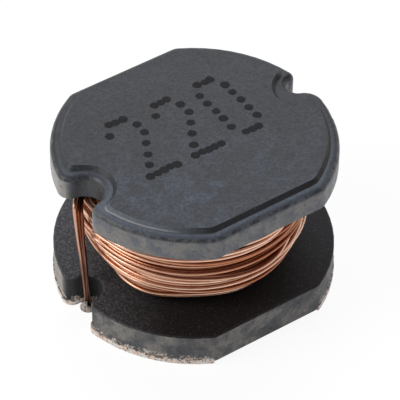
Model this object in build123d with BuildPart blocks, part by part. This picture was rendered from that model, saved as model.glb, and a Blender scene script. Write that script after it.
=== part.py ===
"""Unshielded drum-core SMD power inductor, in millimetres.

A ferrite drum core carries an enamelled copper winding between its two
flanges, wound with two wires in hand. The wire ends leave the winding at
the back, turn down through the notch at each end of the lower flange and
are soldered to the two metal terminals baked on its underside.

Frame: origin at the centre of the footprint, on the plane that the terminals
stand on. +Z up, +X from notch to notch, +Y square to the two flats.
"""
import os
from math import acos, atan2, cos, degrees, hypot, radians, sin, sqrt, tan

from build123d import *

# Outline of both flanges
LENGTH = 7.8                 # flange diameter, from notch end to notch end
WIDTH = 7.0                  # across the two flats
CORNER_RADIUS = 0.46         # where a flat meets the round
# Notches at the left and right ends: centre, radius, and rounding of the -Y and +Y lips
LOWER_NOTCHES = (((-3.57, 0), 0.47, 0.28, 0.28), ((3.57, 0), 0.47, 0.28, 0.28))
UPPER_NOTCHES = (((-3.54, 0), 0.51, 0.35, 0.35), ((3.64, 0.28), 0.30, 0.55, 0.20))
FACE_NOTCHES = (((-3.56, 0), 0.77, 0.25, 0.25), ((3.58, 0), 0.74, 0.25, 0.25))

# Levels, from the board up
TERMINAL_THICKNESS = 0.05
LOWER_FLANGE_TOP = 1.05
UPPER_FLANGE_BOTTOM = 3.94
RIM_TOP = 4.68
CORE_TOP = 4.80

# Pressed edges of the core
POST_RADIUS = 1.6
POST_CHAMFER = 0.15          # where the post meets the flanges
RIM_EDGE_RADIUS = 0.19       # upper edge of the rim, notches included
BOARD_EDGE_CHAMFER = 0.05    # edge that the terminals wrap
WINDOW_EDGE_CHAMFER = 0.04   # edges that face the winding
RIM_WIDTH = 0.25             # rim around the raised face
BEVEL_WIDTH = 0.10           # slope from the rim up to the raised face

# Winding: layers stepped in towards the lower flange, so its underside is a cone
WIRE_RADIUS = 0.06           # half across the flats of its six-sided section
WIRE_CLEARANCE = 0.025       # between the outermost turns and the flanges
TURN_PITCH = 0.127
VALLEY = 0.040               # the wound body reaches this far past the wire's centre
LAST_LAYER_RADIUS = 3.09     # to the wire's centre, as are the next two
INNERMOST_RADIUS = 1.8
FIRST_TURN_RADIUS = 2.42
CONE_TOP = 2.12
CONE_TURNS = 9.1
LAST_LAYER_TURNS = 13.3

# Wire ends: the knee where each bends down over its notch, and its foot in the notch
KNEE_RADIUS = 0.17
SECOND_WIRE_DEPTH = 0.1      # the second finish wire comes from this far inside the last layer
FINISH_KNEES = ((-3.61, 0.40), (-3.46, 0.28))
FINISH_FEET = ((-3.355, 0.31), (-3.39, 0.14))
START_KNEES = ((3.40, 0.20), (3.50, 0.06))
START_FEET = START_KNEES

# Terminals and solder
TERMINAL_INNER_EDGE = 1.75   # half of the bare strip between the terminals
TERMINAL_SKIN = 0.03         # thickness of the metal on the flange's edge
TERMINAL_TOP = 0.22          # height of the metal on that edge
SOLDER_RADIUS = 0.23         # of the fillet round the wire feet, at the board
SOLDER_WAIST = 0.17          # where its flank turns steep
SOLDER_WAIST_HEIGHT = 0.09
SOLDER_NECK = 0.12           # at its top
SOLDER_HEIGHT = 0.20
WIRE_FOOT = 0.06             # height at which the wire ends stop in the solder

os.makedirs("parts", exist_ok=True)


class FlangeOutline(BaseSketchObject):
    """Round disc with two flats and a round-lipped notch at each end, moved in by inset."""

    def __init__(self, notches, inset=0.0, mode=Mode.ADD):
        with BuildSketch() as outline:
            Circle(LENGTH / 2 - inset)
            Rectangle(2 * LENGTH, WIDTH - 2 * inset, mode=Mode.INTERSECT)
            fillet(outline.vertices(), radius=CORNER_RADIUS)
            for centre, radius, *lip_radii in notches:
                with Locations(centre):
                    Circle(radius, mode=Mode.SUBTRACT)
                for lip_side, lip_radius in zip((-1, 1), lip_radii):
                    beside_mouth = (centre[0], centre[1] + lip_side)
                    corner = outline.vertices().sort_by_distance(beside_mouth)[0]
                    fillet(corner, radius=lip_radius)
        super().__init__(obj=outline.sketch, mode=mode)


class WireSection(BaseSketchObject):
    """Section of the wire: six-sided rather than round, which keeps many turns light."""

    def __init__(self, mode=Mode.ADD):
        with BuildSketch() as section:
            RegularPolygon(WIRE_RADIUS, side_count=6, major_radius=False)
        super().__init__(obj=section.sketch, mode=mode)


def resized(notches, growth):
    """The same notches with their radii changed by growth."""
    return [(centre, radius + growth, *lip_radii) for centre, radius, *lip_radii in notches]


# Ferrite drum core: lower flange, post and upper flange, pressed in one piece
with BuildPart() as ferrite_core:
    with BuildSketch(Plane.XY.offset(TERMINAL_THICKNESS)):
        FlangeOutline(LOWER_NOTCHES)
    extrude(amount=LOWER_FLANGE_TOP - TERMINAL_THICKNESS)
    chamfer(ferrite_core.edges().group_by(Axis.Z)[0], length=BOARD_EDGE_CHAMFER)
    chamfer(ferrite_core.edges().group_by(Axis.Z)[-1], length=WINDOW_EDGE_CHAMFER)

    with BuildSketch(Plane.XY.offset(UPPER_FLANGE_BOTTOM)):
        FlangeOutline(UPPER_NOTCHES)
    extrude(amount=RIM_TOP - UPPER_FLANGE_BOTTOM)
    upper_levels = ferrite_core.edges().filter_by_position(
        Axis.Z, UPPER_FLANGE_BOTTOM, RIM_TOP
    ).group_by(Axis.Z)
    fillet(upper_levels[-1], radius=RIM_EDGE_RADIUS)
    chamfer(upper_levels[0], length=WINDOW_EDGE_CHAMFER)

    # Raised face, sloped down to the rim all round and along the notches
    with BuildSketch(Plane.XY.offset(RIM_TOP)):
        FlangeOutline(FACE_NOTCHES, RIM_WIDTH)
    with BuildSketch(Plane.XY.offset(CORE_TOP)):
        FlangeOutline(resized(FACE_NOTCHES, BEVEL_WIDTH), RIM_WIDTH + BEVEL_WIDTH)
    loft(ruled=True)

    # Post, spreading into both flanges
    with BuildSketch(Plane.XY.offset(LOWER_FLANGE_TOP)):
        Circle(POST_RADIUS)
    extrude(until=Until.NEXT)
    post_ends = ferrite_core.edges().filter_by(GeomType.CIRCLE).filter_by(
        lambda edge: abs(edge.radius - POST_RADIUS) < 0.001
    )
    chamfer(post_ends, length=POST_CHAMFER)
ferrite_core.part.label = "ferrite_core"
export_step(ferrite_core.part, "parts/ferrite_core.step")

# Winding: the wound body, the turns that show, and the two wires of each end
first_turn_level = LOWER_FLANGE_TOP + WIRE_RADIUS + WIRE_CLEARANCE
last_turn_level = UPPER_FLANGE_BOTTOM - WIRE_RADIUS - WIRE_CLEARANCE
cone_angle = atan2(LAST_LAYER_RADIUS - FIRST_TURN_RADIUS, CONE_TOP - first_turn_level)
last_layer_bottom = last_turn_level - LAST_LAYER_TURNS * TURN_PITCH


def touching_angle(radius, knee, way):
    """Angle round the coil where a straight wire to the knee touches it; way is +1 or -1."""
    return atan2(knee[1], knee[0]) + way * acos(radius / hypot(*knee))


def leaving_point(radius, level, knee, way):
    """Point inside the coil from which a straight wire to the knee comes out."""
    angle = touching_angle(radius, knee, way)
    return Vector(radius * cos(angle), radius * sin(angle), level)


with BuildPart() as winding:
    # Wound body up to the valleys between turns, its bore cut to the post's ends
    with BuildSketch(Plane.XZ):
        with BuildLine():
            cone_foot = FIRST_TURN_RADIUS + VALLEY / cos(cone_angle) - tan(cone_angle) * (
                first_turn_level - LOWER_FLANGE_TOP
            )
            body_radius = LAST_LAYER_RADIUS + VALLEY
            Polyline(
                (POST_RADIUS, LOWER_FLANGE_TOP),
                (cone_foot, LOWER_FLANGE_TOP),
                (body_radius, LOWER_FLANGE_TOP + (body_radius - cone_foot) / tan(cone_angle)),
                (body_radius, UPPER_FLANGE_BOTTOM),
                (POST_RADIUS, UPPER_FLANGE_BOTTOM),
                close=True,
            )
        make_face()
    revolve(axis=Axis.Z)
    bore_edges = winding.edges().filter_by(
        lambda edge: edge.geom_type == GeomType.CIRCLE and abs(edge.radius - POST_RADIUS) < 0.001
    )
    chamfer(bore_edges, length=POST_CHAMFER)

    # Turns in view: up the cone, then the last layer up to where the finish leaves
    cone_start = radians(90)
    last_layer_end = touching_angle(LAST_LAYER_RADIUS, FINISH_KNEES[0], -1)
    last_layer_start = last_layer_end - radians(360 * LAST_LAYER_TURNS)
    for radius, bottom, turns, angle, flare in (
        (FIRST_TURN_RADIUS, first_turn_level, CONE_TURNS, cone_start, cone_angle),
        (LAST_LAYER_RADIUS, last_layer_bottom, LAST_LAYER_TURNS, last_layer_start, 0),
    ):
        height = turns * TURN_PITCH * cos(flare)
        unturned = Helix(
            TURN_PITCH, height, radius, (0, 0, bottom), cone_angle=degrees(flare), mode=Mode.PRIVATE
        )
        turns_path = unturned.rotate(Axis.Z, degrees(angle))
        outward = (cos(angle), sin(angle), 0)
        with BuildSketch(Plane(turns_path @ 0, x_dir=outward, z_dir=turns_path % 0)):
            WireSection()
        sweep(path=turns_path, is_frenet=True)

    # Wire ends: straight to the knee, then down to the foot. The first carries on from the
    # last turn, the second comes from just inside it, the others from the innermost layer.
    first_run = sqrt(hypot(*FINISH_KNEES[0]) ** 2 - LAST_LAYER_RADIUS**2)
    first_knee = (turns_path @ 1) + (turns_path % 1) * first_run
    second_level = last_turn_level - TURN_PITCH
    second_radius = LAST_LAYER_RADIUS - SECOND_WIRE_DEPTH
    routes = [
        (turns_path @ 1, first_knee, FINISH_FEET[0]),
        (
            leaving_point(second_radius, second_level, FINISH_KNEES[1], -1),
            (*FINISH_KNEES[1], second_level),
            FINISH_FEET[1],
        ),
    ]
    for number, (knee, foot) in enumerate(zip(START_KNEES, START_FEET)):
        level = first_turn_level + number * TURN_PITCH
        start = leaving_point(INNERMOST_RADIUS, level, knee, +1)
        routes.append((start, (*knee, level), foot))
    for start, knee, foot in routes:
        with BuildLine():
            end_path = FilletPolyline(start, knee, (*foot, WIRE_FOOT), radius=KNEE_RADIUS)
        heading = end_path % 0
        outward = heading.cross(Vector(0, 0, 1))
        with BuildSketch(Plane(end_path @ 0, x_dir=outward, z_dir=heading)):
            WireSection()
        sweep(path=end_path)
winding.part.label = "winding"
export_step(winding.part, "parts/winding.step")

# Terminals: metal baked on the underside, up the rounded ends and into the notches.
# Solder: a fillet that joins the two wire feet to the terminal in each notch.
for side_name, side, kept_half, feet in (
    ("left", -1, Keep.BOTTOM, FINISH_FEET),
    ("right", +1, Keep.TOP, START_FEET),
):
    with BuildPart() as terminal:
        with BuildSketch():
            FlangeOutline(resized(LOWER_NOTCHES, -TERMINAL_SKIN), -TERMINAL_SKIN)
        extrude(amount=TERMINAL_TOP)
        chamfer(terminal.edges().group_by(Axis.Z)[0], length=BOARD_EDGE_CHAMFER)
        split(bisect_by=Plane.YZ.offset(side * TERMINAL_INNER_EDGE), keep=kept_half)
        add(ferrite_core.part, mode=Mode.SUBTRACT)
    terminal.part.label = f"{side_name}_terminal"
    export_step(terminal.part, f"parts/{side_name}_terminal.step")

    feet_middle = (Vector(*feet[0]) + Vector(*feet[1])) / 2
    with BuildPart() as solder:
        with BuildSketch(Plane(feet_middle, x_dir=(1, 0, 0), z_dir=(0, -1, 0))):
            with BuildLine():
                Polyline(
                    (0, 0),
                    (SOLDER_RADIUS, 0),
                    (SOLDER_WAIST, SOLDER_WAIST_HEIGHT),
                    (SOLDER_NECK, SOLDER_HEIGHT),
                    (0, SOLDER_HEIGHT),
                    close=True,
                )
            make_face()
        revolve(axis=Axis(feet_middle, (0, 0, 1)))
        add(ferrite_core.part, mode=Mode.SUBTRACT)
        add(terminal.part, mode=Mode.SUBTRACT)
        add(winding.part, mode=Mode.SUBTRACT)
    solder.part.label = f"{side_name}_solder"
    export_step(solder.part, f"parts/{side_name}_solder.step")
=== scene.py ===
"""Looks of the SMD power inductor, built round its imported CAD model.

The ferrite core, the terminals and the solder are the CAD nodes with materials of their own.
The winding is replaced by strands of round enamelled copper wire, laid on one another turn by
turn, and drops of ink on the top face make a generic value marking. The scene is in metres;
the sizes in this script are millimetres where nothing else is said.
"""
import math

import bpy
import numpy as np
from mathutils import Matrix, Vector

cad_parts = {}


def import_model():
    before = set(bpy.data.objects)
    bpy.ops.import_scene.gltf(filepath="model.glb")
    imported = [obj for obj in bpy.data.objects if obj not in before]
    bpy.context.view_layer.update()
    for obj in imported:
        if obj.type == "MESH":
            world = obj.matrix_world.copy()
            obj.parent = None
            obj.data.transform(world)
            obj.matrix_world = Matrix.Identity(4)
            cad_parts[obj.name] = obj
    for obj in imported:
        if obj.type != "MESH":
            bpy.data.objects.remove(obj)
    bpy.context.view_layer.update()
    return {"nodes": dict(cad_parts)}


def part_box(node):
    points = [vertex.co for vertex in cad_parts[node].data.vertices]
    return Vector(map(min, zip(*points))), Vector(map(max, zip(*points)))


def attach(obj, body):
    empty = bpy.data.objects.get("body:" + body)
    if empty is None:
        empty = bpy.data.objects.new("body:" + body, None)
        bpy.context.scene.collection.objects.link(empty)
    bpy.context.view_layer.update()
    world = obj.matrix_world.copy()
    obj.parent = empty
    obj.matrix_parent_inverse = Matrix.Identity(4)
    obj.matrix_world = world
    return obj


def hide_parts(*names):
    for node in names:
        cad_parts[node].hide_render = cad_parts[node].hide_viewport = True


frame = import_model()

MM = 0.001                  # a millimetre in metres
rng = np.random.default_rng(7)

# Levels of the core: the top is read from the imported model, the others follow its source
CORE_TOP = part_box("ferrite_core")[1].z / MM
RIM_TOP = 4.68
UPPER_FLANGE_BOTTOM = 3.94
LOWER_FLANGE_TOP = 1.05


# ---------------------------------------------------------------- materials

def grey(level, tint=(1.0, 1.0, 1.0)):
    """A linear colour from an sRGB level of 0 to 255 and a tint."""
    linear = ((level / 255 + 0.055) / 1.055) ** 2.4
    return tuple(linear * t for t in tint)


class Shade:
    """A procedural material on one Principled shader, built node by node."""

    def __init__(self, name):
        self.material = bpy.data.materials.new(name)
        self.material.use_nodes = True
        self.tree = self.material.node_tree
        self.shader = self.tree.nodes["Principled BSDF"]
        place = self.add("ShaderNodeTexCoord")
        scaled = self.add(
            "ShaderNodeVectorMath", {0: place.outputs["Object"], 3: 1 / MM}, operation="SCALE"
        )
        self.mm = scaled.outputs[0]

    def feed(self, socket, value):
        """Links a socket to a value that is itself a socket, and sets it otherwise."""
        if isinstance(value, bpy.types.NodeSocket):
            self.tree.links.new(value, socket)
        elif isinstance(value, tuple) and socket.type == "RGBA" and len(value) == 3:
            socket.default_value = (*value, 1)
        else:
            socket.default_value = value

    def add(self, kind, inputs=None, **settings):
        """A new node with its settings, then its inputs by name or number."""
        node = self.tree.nodes.new(kind)
        for key, value in settings.items():
            setattr(node, key, value)
        for key, value in (inputs or {}).items():
            self.feed(node.inputs[key], value)
        return node

    def set(self, **sockets):
        """Sets or links the shader's own sockets; an underscore stands for a space."""
        for key, value in sockets.items():
            self.feed(self.shader.inputs[key.replace("_", " ")], value)

    def axes(self, vector):
        """The three parts of a vector socket."""
        return self.add("ShaderNodeSeparateXYZ", {0: vector}).outputs

    def noise(self, scale, detail, roughness, shift=(0, 0, 0)):
        """Noise from 0 to 1; scale counts features per millimetre."""
        moved = self.add("ShaderNodeMapping", {"Vector": self.mm, "Location": shift})
        texture = self.add(
            "ShaderNodeTexNoise",
            {
                "Vector": moved.outputs[0],
                "Scale": scale,
                "Detail": detail,
                "Roughness": roughness,
            },
        )
        return texture.outputs["Fac"]

    def span(self, value, low, high, to_low=0.0, to_high=1.0, smooth=True):
        """Maps low..high to to_low..to_high, held outside."""
        node = self.add(
            "ShaderNodeMapRange",
            {0: value, 1: low, 2: high, 3: to_low, 4: to_high},
            interpolation_type="SMOOTHSTEP" if smooth else "LINEAR",
        )
        return node.outputs[0]

    def math(self, operation, a, b=0.0):
        """One sum on two numbers."""
        return self.add("ShaderNodeMath", {0: a, 1: b}, operation=operation).outputs[0]

    def times(self, a, b):
        """The product of two numbers, such as two masks."""
        return self.math("MULTIPLY", a, b)

    def mix(self, factor, a, b, blend="MIX"):
        """One colour over another."""
        node = self.add("ShaderNodeMix", data_type="RGBA", blend_type=blend)
        for socket, value in zip(
            (node.inputs[0], node.inputs[6], node.inputs[7]), (factor, a, b)
        ):
            self.feed(socket, value)
        return node.outputs[2]

    def bump(self, height, distance, strength, over=None):
        """Bumps the surface by a height from 0 to 1 that stands for a real distance."""
        inputs = {"Height": height, "Distance": distance * MM, "Strength": strength}
        if over is not None:
            inputs["Normal"] = over
        return self.add("ShaderNodeBump", inputs).outputs[0]


class Ferrite(Shade):
    """Sintered ferrite of one dark grey, coloured by where it faces and lies: a bluish painted sheen
    on the top face, walls lighter as painted light from the pale floor, and the lower flange nearly
    black as painted shade.
    """

    def __init__(self):
        super().__init__("ferrite")
        self.x, self.y, self.z = self.axes(self.mm)
        self.up = self.axes(self.add("ShaderNodeNewGeometry").outputs["Normal"])[2]

        self.cloud = self.noise(2.4, 5.0, 0.62, shift=(5, 1, 2))
        self.grain = self.noise(13.0, 2.0, 0.6)
        self.pits = self.noise(6.5, 2.0, 0.5, shift=(9, 3, 1))
        self.crumbs = self.noise(15.0, 3.0, 0.75, shift=(3, 8, 5))

        # Places: the lobe behind the left notch, whose walls get painted light, the arc in front of
        # it, the left part of that arc
        self.lit_lobe = self.times(
            self.span(self.y, 0.3, 0.7), self.span(self.x, -2.5, -3.1, 0.0, 0.85)
        )
        before_notch = self.span(self.y, -0.7, -0.95)
        self.front_arc = self.times(before_notch, self.span(self.x, -1.7, -2.8))
        self.front_left = self.times(before_notch, self.span(self.x, -2.5, -3.15))
        self.lower = self.span(
            self.z, LOWER_FLANGE_TOP + 0.3, LOWER_FLANGE_TOP + 0.5, 1.0, 0.0
        )

        colour = self.mix(self.lower, self.upper_flange(), self.lower_flange())
        colour = self.slope_over(colour)
        colour = self.grained(colour, 250, 226)
        colour = self.mix(
            self.span(self.pits, 0.64, 0.74, 0.0, 0.55), colour, grey(20, (1.1, 1.0, 0.95))
        )
        speck = self.noise(26.0, 1.0, 0.5, shift=(2, 7, 3))
        colour = self.mix(
            self.span(speck, 0.66, 0.78, 0.0, 0.4), colour, grey(150, (1.0, 0.96, 0.9))
        )
        skin = self.mix(self.span(self.cloud, 0.3, 0.7), (0.36, 0.36, 0.36), (0.46, 0.46, 0.46))
        self.set(
            Base_Color=colour,
            Roughness=self.mix(self.lower, skin, (0.62, 0.62, 0.62)),
            Specular_IOR_Level=self.span(self.lower, 0.0, 1.0, 0.33, 0.25),
            Normal=self.bump(self.grain, 0.012, 0.7, self.bump(self.cloud, 0.03, 0.5)),
        )

    def grained(self, colour, light, dark):
        """A colour darkened by the fine grain, between two grey levels."""
        grains = self.mix(self.span(self.grain, 0.38, 0.64), grey(light), grey(dark))
        return self.mix(1.0, colour, grains, "MULTIPLY")

    def upper_flange(self):
        """Top face with a painted sheen towards the front, a rim with painted highlights in front, a
        rounded edge darker as painted shade, walls lighter as painted light with bluish smudges, and
        painted shade in the left notch.
        """
        # Painted sheen: the face and the rim are lighter and bluer towards the front, where the light
        # from above reflects
        front_sheen = self.span(self.math("ADD", self.y, self.times(self.x, 0.5)), 1.0, -3.0)
        mottle = self.noise(0.9, 4.0, 0.6)
        face = self.mix(front_sheen, grey(70, (0.96, 1.0, 1.12)), grey(90, (0.83, 1.0, 1.34)))
        face = self.mix(
            self.span(self.cloud, 0.38, 0.62, 0.85, 0.0), face, grey(44, (1.0, 1.0, 1.12))
        )
        face = self.mix(
            self.span(mottle, 0.45, 0.62, 0.0, 0.6), face, grey(52, (1.1, 1.0, 1.0))
        )
        face = self.grained(face, 255, 206)

        rim = self.mix(front_sheen, grey(54, (0.95, 1.0, 1.12)), grey(96, (0.87, 1.0, 1.24)))
        # Painted highlight on the rim at the front left, where the left lamp catches it
        rim = self.mix(self.front_left, rim, grey(104, (0.88, 1.0, 1.22)))
        on_rim = self.span(self.z, RIM_TOP + 0.03, RIM_TOP + 0.01)

        # Painted shade on the rounded edge: darker than the walls, mottled at random
        chips = self.span(self.noise(4.5, 4.0, 0.7, shift=(6, 2, 4)), 0.4, 0.62)
        edge = self.mix(chips, grey(64, (0.93, 1.0, 1.12)), grey(104, (0.96, 1.0, 1.08)))

        # Painted light: the walls are lighter than the face, as the pale floor lights them; the
        # bluish smudges vary at random
        wall = self.mix(
            self.span(self.cloud, 0.42, 0.6),
            grey(137, (1.03, 1.0, 0.97)),
            grey(116, (0.92, 1.0, 1.14)),
        )
        # Painted light on the wall of the lobe behind the left notch
        wall = self.mix(self.lit_lobe, wall, grey(172, (1.04, 1.0, 0.95)))
        # Painted shade inside the left notch
        notch = self.mix(self.span(self.cloud, 0.4, 0.6), grey(74), grey(88, (0.9, 1.0, 1.15)))
        wall = self.mix(self.in_upper_notch(), wall, notch)

        # Walls, rounded edge and face are lit and shaded copies of the one ferrite, picked by where
        # the surface faces
        sides = self.mix(self.span(self.up, 0.25, 0.55), wall, edge)
        return self.mix(self.span(self.up, 0.74, 0.9), sides, self.mix(on_rim, face, rim))

    def in_upper_notch(self):
        """One inside the upper flange's left notch, by the distance from its centre."""
        beside = self.add("ShaderNodeCombineXYZ", {0: self.math("ADD", self.x, 3.54), 1: self.y})
        away = self.add("ShaderNodeVectorMath", {0: beside.outputs[0]}, operation="LENGTH")
        return self.span(away.outputs["Value"], 0.72, 0.52)

    def slope_over(self, colour):
        """The slope round the raised face: painted shade, black at the right, and painted light, pale
        at the front left.
        """
        # Painted shade at the right, lighter to the left, and painted light on the front arc
        slope = self.mix(
            self.span(self.x, 0.6, 2.4), grey(40, (1.08, 1.0, 1.2)), grey(20, (1.08, 1.0, 1.2))
        )
        slope = self.mix(self.span(self.x, -1.5, -2.1), slope, grey(62, (0.93, 1.0, 1.18)))
        slope = self.mix(self.front_arc, slope, grey(112, (0.88, 1.0, 1.2)))

        # Painted highlight: a pale line along the slope's foot at the front left, broken by the grain
        foot = self.times(self.span(self.z, RIM_TOP + 0.05, RIM_TOP + 0.03), self.front_arc)
        foot = self.times(foot, self.span(self.x, -2.2, -2.75))
        edge_highlight = self.times(foot, self.span(self.grain, 0.3, 0.6, 0.4, 0.9))
        slope = self.mix(edge_highlight, slope, grey(178, (0.98, 1.0, 1.02)))

        on_slope = self.times(
            self.span(self.z, RIM_TOP, RIM_TOP + 0.01), self.span(self.up, 0.8, 0.9, 1.0, 0.0)
        )
        return self.mix(on_slope, colour, slope)

    def lower_flange(self):
        """A top nearly black as painted shade under the upper flange, lightest towards the left, over
        brownish walls with crumbs of metal.
        """
        # Painted shade: the top is nearly black, a little lighter to the right and lighter still to
        # the left, with pale specks mostly at the left
        sideways = self.math("SUBTRACT", self.x, self.times(self.y, 0.71))
        leftward = self.span(sideways, -0.4, -3.8)
        pale_specks = self.times(self.span(self.crumbs, 0.46, 0.64), self.math("ADD", leftward, 0.05))
        face = self.mix(
            self.span(sideways, 1.2, 3.2), grey(29, (1.2, 0.95, 1.0)), grey(42, (1.1, 0.96, 1.0))
        )
        face = self.mix(leftward, face, grey(70, (0.98, 1.0, 1.12)))
        face = self.mix(pale_specks, face, grey(108, (0.95, 1.0, 1.1)))

        fog = self.noise(1.1, 2.0, 0.5, shift=(7, 4, 9))
        wall = self.mix(
            self.span(self.cloud, 0.4, 0.64),
            grey(144, (1.05, 1.0, 0.93)),
            grey(104, (0.96, 1.0, 1.08)),
        )
        wall = self.mix(self.span(fog, 0.52, 0.64, 0.0, 0.6), wall, grey(80, (0.92, 1.0, 1.15)))
        # Painted light on the wall of the lobe behind the left notch
        wall = self.mix(self.lit_lobe, wall, grey(176, (1.05, 1.0, 0.93)))
        # Painted shade on the wall inside the left notch, under the upper flange
        notch_shade = self.times(
            self.span(self.math("ABSOLUTE", self.y), 0.95, 0.6), self.span(self.x, -2.9, -3.05)
        )
        wall = self.mix(notch_shade, wall, grey(48, (1.0, 1.0, 1.05)))
        wall = self.spill_over(wall)
        # Lighter walls and a nearly black top are lit and shaded copies of the one ferrite, picked by
        # where the surface faces
        return self.mix(self.span(self.up, 0.3, 0.75), wall, face)

    def spill_over(self, colour):
        """Crumbs of the terminals' metal on the ferrite just above them."""
        ragged = self.noise(5.5, 4.0, 0.75, shift=(1, 6, 3))
        height = self.math("ADD", self.z, self.span(ragged, 0.36, 0.64, 0.12, -0.12))
        spill = self.times(
            self.span(height, 0.27, 0.23), self.span(self.math("ABSOLUTE", self.x), 1.72, 1.8)
        )
        crumb = self.mix(
            self.span(self.pits, 0.45, 0.55),
            grey(235, (1.0, 0.96, 0.9)),
            grey(235, (1.0, 0.8, 0.68)),
        )
        crumb = self.mix(self.span(self.crumbs, 0.42, 0.52), grey(96, (1.05, 1.0, 0.95)), crumb)
        return self.mix(spill, colour, crumb)


def copper():
    """Enamelled copper wire: bright metal under a thin clear coat, toned strand by strand with
    painted shade on lower and turned-away wires and some random variation.
    """
    m = Shade("enamelled_copper")
    tone = m.add("ShaderNodeAttribute", attribute_name="tone").outputs["Fac"]
    streak = m.noise(3.0, 3.0, 0.6)
    colour = m.mix(m.span(tone, -0.6, 0.2, smooth=False), (0.20, 0.06, 0.025), (0.50, 0.20, 0.10))
    colour = m.mix(m.span(tone, 0.2, 1.0, smooth=False), colour, (0.95, 0.64, 0.48))
    colour = m.mix(m.span(streak, 0.35, 0.7, 0.0, 0.4), colour, (0.72, 0.50, 0.42), "MULTIPLY")
    m.set(
        Base_Color=colour,
        Metallic=1.0,
        Roughness=0.3,
        Coat_Weight=0.2,
        Coat_Roughness=0.12,
    )
    return m.material


def tinned(name, light, height):
    """Baked silver and tin: whole underneath, in cream and pinkish crumbs up to a ragged height."""
    m = Shade(name)
    z = m.axes(m.mm)[2]
    crumbs = m.noise(11.0, 3.0, 0.7)
    hue = m.noise(7.0, 2.0, 0.6, shift=(4, 2, 8))
    ragged = m.noise(4.5, 4.0, 0.75, shift=(1, 6, 3))
    broken = m.span(z, 0.005, 0.02, 0.2, 1.0)
    pink = m.times(m.span(hue, 0.42, 0.56), broken)
    gone = m.times(m.span(crumbs, 0.36, 0.48, 1.0, 0.0), broken)
    metal = m.mix(pink, grey(light, (1.0, 0.97, 0.92)), grey(light, (1.0, 0.78, 0.66)))
    metal = m.mix(gone, metal, grey(84, (1.08, 1.0, 0.94)))
    edge = m.math("ADD", z, m.span(ragged, 0.35, 0.65, 0.08, -0.08))
    colour = m.mix(m.span(edge, height - 0.02, height + 0.02), metal, grey(112, (1.03, 1.0, 0.97)))
    m.set(
        Base_Color=colour,
        Metallic=0.1,
        Roughness=0.55,
        Normal=m.bump(crumbs, 0.03, 0.9),
    )
    return m.material


def ink():
    """Dull dark ink of the marking."""
    m = Shade("ink")
    patch = m.noise(9.0, 3.0, 0.55)
    m.set(
        Base_Color=m.mix(m.span(patch, 0.3, 0.7), grey(18, (1.1, 1, 1.15)), grey(30, (1.1, 1, 1.15))),
        Roughness=0.6,
        Specular_IOR_Level=0.2,
    )
    return m.material


terminal_metal = tinned("terminal_metal", light=248, height=0.22)
solder = tinned("solder", light=190, height=0.40)
for node, material in (
    ("ferrite_core", Ferrite().material),
    ("left_terminal", terminal_metal),
    ("right_terminal", terminal_metal),
    ("left_solder", solder),
    ("right_solder", solder),
):
    slots = frame["nodes"][node].data.materials
    slots.clear()
    slots.append(material)


# ------------------------------------------------------------------- meshes

def quads(first, second, sides):
    """Faces between two rings of points, given where each ring starts."""
    return [
        (first + k, first + (k + 1) % sides, second + (k + 1) % sides, second + k)
        for k in range(sides)
    ]


def piece(name, points, faces, material):
    """A mesh object from points in millimetres, riding with the part."""
    mesh = bpy.data.meshes.new(name)
    mesh.from_pydata(np.concatenate(points) * MM, [], faces)
    mesh.materials.append(material)
    obj = bpy.data.objects.new(name, mesh)
    bpy.context.scene.collection.objects.link(obj)
    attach(obj, "root")
    return obj


# ------------------------------------------------------------------ winding

STEPS = 160                 # points to one turn
STEP = 2 * math.pi / STEPS
WIRE_RADIUS = 0.052
WIRE_SIDES = 8
FILL_SIDES = 96
FILL_BORE = 1.62            # radius, just outside the post
FLANGE_GAP = 0.002          # between the fill and the flanges
EDGE_MARGIN = 0.02          # between a turn and either end of the profile
LAYER_PITCH = 0.108

# Centres of the close-wound layer, from the lower flange up: radius, height
BASE_PROFILE = (
    (2.19, 1.12), (2.40, 1.32), (2.57, 1.52), (2.68, 1.72), (2.77, 1.92), (2.85, 2.12),
    (2.91, 2.32), (2.95, 2.57), (2.97, 3.87),
)
# Where the coil isn't round: direction, width, size, height and spread of each swelling
SWELLINGS = (
    (math.radians(204), 0.37, 0.25, 1.42, 0.50),
    (math.radians(268), 0.40, 0.09, 1.35, 0.45),
    (math.radians(-38), 0.70, -0.13, 2.4, 2.2),
)
# Turns of the uneven layer, as lengths along the profile: spread at the foot, then even
SPREAD_TURNS = (0.10, 0.38, 0.60, 0.78, 0.93)
EVEN_START = 1.06
EVEN_PITCH = 0.115
# Loose turns on top: first and last length along the profile, how many, angle where they start
TOP_TURNS = ((2.35, 2.9, 4, 2.6), (1.3, 1.75, 1, 3.4))

# The last ends, at the left notch: where they bend down and where they end
FINISH_KNEES = ((-3.61, 0.42, 3.83), (-3.55, 0.35, 3.74), (-3.46, 0.31, 3.67))
FINISH_FEET = ((-3.36, 0.31, 0.06), (-3.31, 0.26, 0.06), (-3.36, 0.20, 0.06))
FINISH_BEND = 0.26
# The first ends, at the right notch: they go straight down to the same height
START_KNEES = ((3.40, 0.20, 1.15), (3.50, 0.06, 1.30))
START_BEND = 0.14
FOOT_HEIGHT = 0.06
# Radius of the coil where a wire leaves it: the top wire, those below it, the first ones
TOP_LEAVES = 3.09
INNER_LEAVES = 3.0
FIRST_LEAVES = 1.9

# Tones of the wires, from -0.6 for dark brown to 1 for bright copper: painted shade makes the fill,
# the close layer and the ends behind the front one darker, and the outer turns lighter
FILL_TONE = 0.0
CLOSE_TONE = 0.22
OPEN_TONE = 0.68
TOP_TONE = 0.8
END_TONE = 0.5
SHADED_TONE = -0.6


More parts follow.
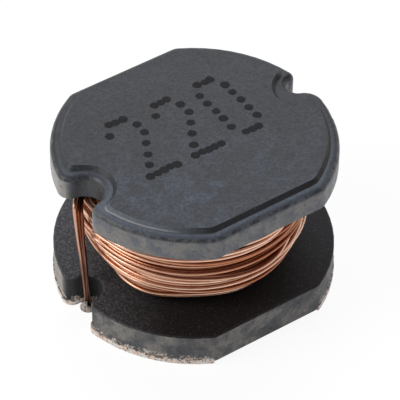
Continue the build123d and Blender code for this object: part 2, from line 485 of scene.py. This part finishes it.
def profile_table(points, samples=400, reach=20):
    """Length along a smoothed profile, with the place and outward direction at each length."""
    corners = np.array(points)
    run = np.r_[0, np.cumsum(np.hypot(*np.diff(corners, axis=0).T))]
    length = np.linspace(0, run[-1], samples)
    place = np.c_[np.interp(length, run, corners[:, 0]), np.interp(length, run, corners[:, 1])]
    window = np.ones(2 * reach + 1) / (2 * reach + 1)
    padded = np.pad(place, ((reach, reach), (0, 0)), mode="reflect", reflect_type="odd")
    place = np.c_[[np.convolve(padded[:, k], window, "valid") for k in (0, 1)]].T
    along = np.gradient(place, axis=0)
    along /= np.hypot(*along.T)[:, None]
    outward = np.c_[along[:, 1], -along[:, 0]]
    return length, place, outward


LENGTHS, PLACES, OUTWARDS = profile_table(BASE_PROFILE)
FULL = LENGTHS[-1]


def on_coil(turn_angle, along, lift):
    """Points at an angle round the coil, a length along its profile and a lift off its surface."""
    radius, height, out_r, out_z = (
        np.interp(along, LENGTHS, column) for column in (*PLACES.T, *OUTWARDS.T)
    )
    radius = radius + lift * out_r
    for direction, width, size, level, spread in SWELLINGS:
        beside = np.angle(np.exp(1j * (turn_angle - direction))) / width
        above = (height - level) / spread
        radius = radius + size * np.exp(-(beside**2) - above**2)
    return np.c_[radius * np.cos(turn_angle), radius * np.sin(turn_angle), height + lift * out_z]


def wander(angle, size):
    """Slow irregular drift of a hand-guided wire, along its whole length."""
    drift = np.zeros_like(angle)
    for wave in (0.37, 0.81, 1.33, 2.21, 3.4):
        drift += rng.normal() / (0.6 + wave) * np.sin(wave * angle + rng.uniform(0, 6.28))
    return size * drift


# Every turn laid so far: its length along the profile and its lift, step by step round the coil
laid_along = []
laid_lift = []


def lay(angle, along):
    """Lift of a wire laid over what is already there, turn by turn, then smoothed."""
    lift = np.zeros_like(along)
    reach = 2 * WIRE_RADIUS
    first_step = int(round(angle[0] / (2 * math.pi) * STEPS))
    for start in range(0, len(angle), STEPS):
        part = slice(start, min(start + STEPS, len(angle)))
        steps = (first_step + np.arange(part.start, part.stop)) % STEPS
        top = np.zeros(len(steps))
        for other_along, other_lift in zip(laid_along, laid_lift):
            gap = np.abs(along[part] - other_along[steps])
            over = other_lift[steps] + np.sqrt(np.clip(reach**2 - gap**2, 0, None))
            top = np.where(gap < reach, np.maximum(top, over), top)
        lift[part] = top
        row_along = np.full(STEPS, np.inf)
        row_lift = np.zeros(STEPS)
        row_along[steps] = along[part]
        row_lift[steps] = top
        laid_along.append(row_along)
        laid_lift.append(row_lift)
    spread = np.arange(-9, 10)
    kernel = np.exp(-((spread / 4.0) ** 2))
    padded = np.pad(lift, 9, mode="edge")
    return np.convolve(padded, kernel / kernel.sum(), "valid")


def sunk(lift, end=True, depth=0.2, length=14):
    """Lets a wire dive under the layer where it starts, and where it ends unless it goes on."""
    ramp = np.ones(len(lift))
    rise = np.linspace(0, 1, length)
    ramp[:length] = rise
    if end:
        ramp[-length:] = rise[::-1]
    return lift - depth * (1 - ramp) ** 2


class Bundle:
    """Round wires that become one mesh, each point with a tone."""

    def __init__(self):
        self.points, self.faces, self.tones = [], [], []

    def count(self):
        """How many points there are so far."""
        return sum(len(p) for p in self.points)

    def wire(self, path, tone):
        """Adds a wire along a path of points, closed at both ends."""
        heading = np.gradient(path, axis=0)
        heading /= np.linalg.norm(heading, axis=1)[:, None]
        side = np.cross(heading[0], (0.0, 0.0, 1.0))
        turn = np.arange(WIRE_SIDES) * 2 * math.pi / WIRE_SIDES
        rings = []
        for place, ahead in zip(path, heading):
            side = side - ahead * np.dot(side, ahead)
            side /= np.linalg.norm(side)
            other = np.cross(ahead, side)
            rings.append(
                place
                + WIRE_RADIUS * (np.outer(np.cos(turn), side) + np.outer(np.sin(turn), other))
            )
        base = self.count()
        last = base + (len(path) - 1) * WIRE_SIDES
        self.points.append(np.concatenate(rings))
        self.tones.append(np.repeat(np.broadcast_to(tone, len(path)), WIRE_SIDES))
        for ring in range(base, last, WIRE_SIDES):
            self.faces += quads(ring, ring + WIRE_SIDES, WIRE_SIDES)
        self.faces.append(tuple(base + k for k in reversed(range(WIRE_SIDES))))
        self.faces.append(tuple(last + k for k in range(WIRE_SIDES)))

    def lathe(self, outline, tone):
        """Adds a closed solid of revolution from radius and height pairs."""
        base = self.count()
        angles = np.arange(FILL_SIDES) * 2 * math.pi / FILL_SIDES
        rows = [
            np.c_[r * np.cos(angles), r * np.sin(angles), np.full(FILL_SIDES, h)]
            for r, h in outline
        ]
        self.points.append(np.concatenate(rows))
        self.tones.append(np.full(FILL_SIDES * len(outline), tone))
        for row in range(len(outline)):
            following = (row + 1) % len(outline)
            self.faces += quads(base + row * FILL_SIDES, base + following * FILL_SIDES, FILL_SIDES)

    def piece(self, name, material):
        """The finished object, smooth-shaded, with the tones as an attribute of its mesh."""
        obj = piece(name, self.points, self.faces, material)
        mesh = obj.data
        mesh.polygons.foreach_set("use_smooth", [True] * len(mesh.polygons))
        layer = mesh.attributes.new("tone", "FLOAT", "POINT")
        layer.data.foreach_set("value", np.concatenate(self.tones).astype(np.float32))
        mesh.update()
        return obj


def bent(points, radius, steps=8):
    """A run of straight lines with each corner rounded."""
    points = [np.asarray(p, float) for p in points]
    path = [points[0]]
    for before, corner, after in zip(points, points[1:], points[2:]):
        back = (before - corner) / np.linalg.norm(before - corner)
        ahead = (after - corner) / np.linalg.norm(after - corner)
        for t in np.linspace(0, 1, steps):
            path.append(
                (1 - t) ** 2 * (corner + back * radius)
                + 2 * t * (1 - t) * corner
                + t**2 * (corner + ahead * radius)
            )
    path.append(points[-1])
    return np.array(path)


def touching_angle(radius, knee, way):
    """Angle round the coil where a straight wire to the knee touches it; way is +1 or -1."""
    return math.atan2(knee[1], knee[0]) + way * math.acos(radius / math.hypot(knee[0], knee[1]))


def fill_behind(bundle):
    """Solid that stands behind the strands, so that nothing shows between them."""
    inner = [(radius - 0.05, height) for radius, height in BASE_PROFILE[1:-1]]
    foot, head = LOWER_FLANGE_TOP + FLANGE_GAP, UPPER_FLANGE_BOTTOM - FLANGE_GAP
    bundle.lathe(
        [(FILL_BORE, foot), (2.12, foot), *inner, (2.94, head), (FILL_BORE, head)],
        FILL_TONE,
    )


def close_layer(bundle):
    """The full layer on the fill, turn against turn."""
    turns = int(FULL / LAYER_PITCH)
    angle = math.pi / 2 + np.arange(turns * STEPS) * STEP
    along = np.linspace(0.0, FULL, len(angle)) + wander(angle, 0.012)
    path = on_coil(angle, along, sunk(lay(angle, along)))
    bundle.wire(path, CLOSE_TONE + wander(angle, 0.1))


def open_layer(bundle):
    """The uneven layer over it, whose end leaves for the left notch."""
    top = FULL - EDGE_MARGIN
    places = np.r_[SPREAD_TURNS, np.arange(EVEN_START, top, EVEN_PITCH), top]
    turns = len(places) - 1
    leave = touching_angle(TOP_LEAVES, FINISH_KNEES[0], -1) + 2 * math.pi
    angle = leave - np.arange(turns * STEPS + 1)[::-1] * STEP
    turn_number = (angle - angle[0]) / (2 * math.pi)
    settle = np.clip(turns - turn_number, 0, 1)
    along = np.interp(turn_number, np.arange(len(places)), places) + wander(angle, 0.036) * settle
    along = np.clip(along, EDGE_MARGIN, top)
    coil = on_coil(angle, along, sunk(lay(angle, along), end=False))

    straight = coil[-1] - coil[-2]
    straight[2] = 0
    knee = coil[-1] + straight / np.linalg.norm(straight) * math.sqrt(
        math.hypot(*FINISH_KNEES[0][:2]) ** 2 - np.hypot(*coil[-1][:2]) ** 2
    )
    finish = bent([coil[-1], knee, FINISH_FEET[0]], FINISH_BEND)

    # Painted shade: some turns are darker on the side to the right, away from the light
    shade_pick = rng.random(turns + 1)[turn_number.astype(int)]
    to_right = 0.5 + 0.5 * np.cos(angle - math.radians(-30))
    tone = OPEN_TONE + wander(angle, 0.2) - 0.75 * to_right * (shade_pick > 0.45)
    bundle.wire(
        np.concatenate([coil, finish[1:]]), np.r_[tone, np.full(len(finish) - 1, END_TONE)]
    )


def top_turns(bundle):
    """A few loose turns over everything."""
    for first, last, turns, start_angle in TOP_TURNS:
        angle = start_angle + np.arange(turns * STEPS) * STEP
        along = np.linspace(first, last, len(angle)) + wander(angle, 0.07)
        along = np.clip(along, 0.05, FULL - EDGE_MARGIN)
        path = on_coil(angle, along, sunk(lay(angle, along)))
        bundle.wire(path, TOP_TONE + wander(angle, 0.2))


def wire_end(bundle, radius, way, knee, foot, bend, tone):
    """A wire that leaves the coil along its tangent and bends down to its foot."""
    first = touching_angle(radius, knee, way)
    begin = (radius * math.cos(first), radius * math.sin(first), knee[2])
    bundle.wire(bent([begin, knee, foot], bend), tone)


strands = Bundle()
fill_behind(strands)
close_layer(strands)
open_layer(strands)
top_turns(strands)
for knee, foot in zip(FINISH_KNEES[1:], FINISH_FEET[1:]):
    wire_end(strands, INNER_LEAVES, -1, knee, foot, FINISH_BEND, SHADED_TONE)
for knee in START_KNEES:
    foot = (knee[0], knee[1], FOOT_HEIGHT)
    wire_end(strands, FIRST_LEAVES, +1, knee, foot, START_BEND, END_TONE)

winding = strands.piece("copper_strands", copper())
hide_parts("winding")


# ------------------------------------------------------------------ marking

DIGITS = {
    "2": ("01110", "10001", "00001", "00010", "00100", "01000", "11111"),
    "0": ("01110", "10001", "10001", "10001", "10001", "10001", "01110"),
}
COLUMN = 0.21               # between dots
ROW = 0.38
DOT_RADIUS = 0.132
DOT_SIDES = 18


def drop(x, y):
    """Three rings of points for one drop of ink, the lowest just inside the core."""
    radius = DOT_RADIUS * rng.uniform(0.92, 1.08)
    thick = rng.uniform(0.003, 0.005)
    wobble = rng.uniform(0.94, 1.06, DOT_SIDES)
    angle = np.arange(DOT_SIDES) * 2 * math.pi / DOT_SIDES
    rings = []
    for share, height in ((1.0, -0.004), (0.97, 0.6 * thick), (0.8, thick)):
        r = radius * share * wobble
        level = np.full(DOT_SIDES, CORE_TOP + height)
        rings.append(np.c_[x + r * np.cos(angle), y + r * np.sin(angle), level])
    return np.concatenate(rings)


def marking(text, centres, middle_y):
    """Value marking in generic digits, in drops of ink on the top face."""
    dots = [
        (centre + (column - 2) * COLUMN, middle_y + (3 - row) * ROW)
        for digit, centre in zip(text, centres)
        for row, line in enumerate(DIGITS[digit])
        for column, on in enumerate(line)
        if on == "1"
    ]
    points, faces = [], []
    for number, (x, y) in enumerate(dots):
        points.append(drop(x + rng.normal(0, 0.012), y + rng.normal(0, 0.012)))
        outer = number * 3 * DOT_SIDES
        middle = outer + DOT_SIDES
        inner = middle + DOT_SIDES
        faces += quads(outer, middle, DOT_SIDES) + quads(middle, inner, DOT_SIDES)
        faces.append(tuple(inner + k for k in range(DOT_SIDES)))
    piece("value_marking", points, faces, ink())


marking("220", (-1.45, 0.0, 1.45), 0.5)


# ------------------------------------------------- floor, light and camera

FLOOR_HALF = 3.0            # metres
FLOOR_LEVEL = -0.00001      # metres, a hair below the terminals
LIGHT_DISTANCE = 0.30       # metres
LIGHT_AIM = 0.002           # metres above the floor
WORLD_STRENGTH = 0.9


def in_view(tree):
    """One for what the camera and reflections see, zero for what lights the object."""
    ray = tree.nodes.new("ShaderNodeLightPath")
    either = tree.nodes.new("ShaderNodeMath")
    either.operation = "MAXIMUM"
    tree.links.new(ray.outputs["Is Camera Ray"], either.inputs[0])
    tree.links.new(ray.outputs["Is Glossy Ray"], either.inputs[1])
    return either.outputs[0]


def floor():
    """Wide floor that shows as white and keeps a soft shadow."""
    half, level = FLOOR_HALF, FLOOR_LEVEL
    mesh = bpy.data.meshes.new("floor")
    mesh.from_pydata(
        [(-half, -half, level), (half, -half, level), (half, half, level), (-half, half, level)],
        [],
        [(0, 1, 2, 3)],
    )
    obj = bpy.data.objects.new("floor", mesh)
    bpy.context.scene.collection.objects.link(obj)
    material = bpy.data.materials.new("floor")
    material.use_nodes = True
    tree = material.node_tree
    tree.nodes.clear()
    plain = tree.nodes.new("ShaderNodeBsdfDiffuse")
    plain.inputs["Color"].default_value = (0.8, 0.8, 0.8, 1)
    pale = tree.nodes.new("ShaderNodeBsdfDiffuse")
    pale.inputs["Color"].default_value = (0.15, 0.15, 0.15, 1)
    glow = tree.nodes.new("ShaderNodeEmission")
    glow.inputs["Strength"].default_value = 0.91
    both = tree.nodes.new("ShaderNodeAddShader")
    tree.links.new(pale.outputs[0], both.inputs[0])
    tree.links.new(glow.outputs[0], both.inputs[1])
    choose = tree.nodes.new("ShaderNodeMixShader")
    tree.links.new(in_view(tree), choose.inputs[0])
    tree.links.new(plain.outputs[0], choose.inputs[1])
    tree.links.new(both.outputs[0], choose.inputs[2])
    output = tree.nodes.new("ShaderNodeOutputMaterial")
    tree.links.new(choose.outputs[0], output.inputs[0])
    mesh.materials.append(material)


def area_light(name, azimuth, elevation, size, strength, colour):
    """A soft square light that faces the object; azimuth 0 is in front, 90 to the right."""
    a, e = math.radians(azimuth), math.radians(elevation)
    place = Vector((math.sin(a) * math.cos(e), -math.cos(a) * math.cos(e), math.sin(e)))
    data = bpy.data.lights.new(name, "AREA")
    data.shape = "SQUARE"
    data.size = size
    data.energy = strength
    data.color = colour
    obj = bpy.data.objects.new(name, data)
    obj.location = place * LIGHT_DISTANCE + Vector((0, 0, LIGHT_AIM))
    obj.rotation_euler = place.to_track_quat("Z", "Y").to_euler()
    bpy.context.scene.collection.objects.link(obj)


def world():
    """Pale surroundings, bright at the horizon and dimmer overhead.

    What the camera and reflections see just above the horizon is as white as the floor.
    """
    place = bpy.data.worlds.new("studio")
    bpy.context.scene.world = place
    place.use_nodes = True
    tree = place.node_tree
    back = tree.nodes["Background"]
    coordinates = tree.nodes.new("ShaderNodeTexCoord")
    parts = tree.nodes.new("ShaderNodeSeparateXYZ")
    tree.links.new(coordinates.outputs["Generated"], parts.inputs[0])
    ramp = tree.nodes.new("ShaderNodeValToRGB")
    tree.links.new(parts.outputs["Z"], ramp.inputs[0])
    ramp.color_ramp.elements[0].color = (0.88, 0.88, 0.89, 1)
    ramp.color_ramp.elements[0].position = 0.1
    ramp.color_ramp.elements[1].color = (0.10, 0.105, 0.12, 1)
    ramp.color_ramp.elements[1].position = 0.8
    low = tree.nodes.new("ShaderNodeMapRange")
    low.inputs["From Min"].default_value = 0.12
    low.inputs["From Max"].default_value = 0.08
    tree.links.new(parts.outputs["Z"], low.inputs["Value"])
    amount = tree.nodes.new("ShaderNodeMath")
    amount.operation = "MULTIPLY"
    tree.links.new(in_view(tree), amount.inputs[0])
    tree.links.new(low.outputs[0], amount.inputs[1])
    white = 1 / WORLD_STRENGTH
    shown = tree.nodes.new("ShaderNodeMix")
    shown.data_type = "RGBA"
    tree.links.new(amount.outputs[0], shown.inputs["Factor"])
    tree.links.new(ramp.outputs[0], shown.inputs[6])
    shown.inputs[7].default_value = (white, white, white, 1)
    tree.links.new(shown.outputs[2], back.inputs["Color"])
    back.inputs["Strength"].default_value = WORLD_STRENGTH


def camera():
    """A long lens that looks down on the object from the front left."""
    azimuth, elevation, roll = (math.radians(v) for v in (-35.494, 43.588, 0.781))
    back = Vector((
        math.sin(azimuth) * math.cos(elevation),
        -math.cos(azimuth) * math.cos(elevation),
        math.sin(elevation),
    ))
    right = Vector((math.cos(azimuth), math.sin(azimuth), 0))
    up = back.cross(right)
    right, up = (
        math.cos(roll) * right + math.sin(roll) * up,
        -math.sin(roll) * right + math.cos(roll) * up,
    )
    target = Vector((0, 0, 2.07)) + 0.1646 * right + 0.2582 * up
    distance = 75.24
    data = bpy.data.cameras.new("camera")
    data.lens = 246.2
    data.clip_start = 0.001
    obj = bpy.data.objects.new("camera", data)
    obj.location = (target + back * distance) * MM
    basis = np.array((right, up, back)).T
    obj.rotation_euler = Matrix(basis.tolist()).to_euler()
    bpy.context.scene.collection.objects.link(obj)
    bpy.context.scene.camera = obj


floor()
world()
area_light(
    "back_window", azimuth=148, elevation=44, size=0.24, strength=0.38, colour=(0.89, 0.92, 1.0)
)
area_light(
    "left_window", azimuth=-110, elevation=38, size=0.14, strength=0.36, colour=(1.0, 0.97, 0.92)
)
camera()
bpy.context.scene.view_settings.view_transform = "Standard"
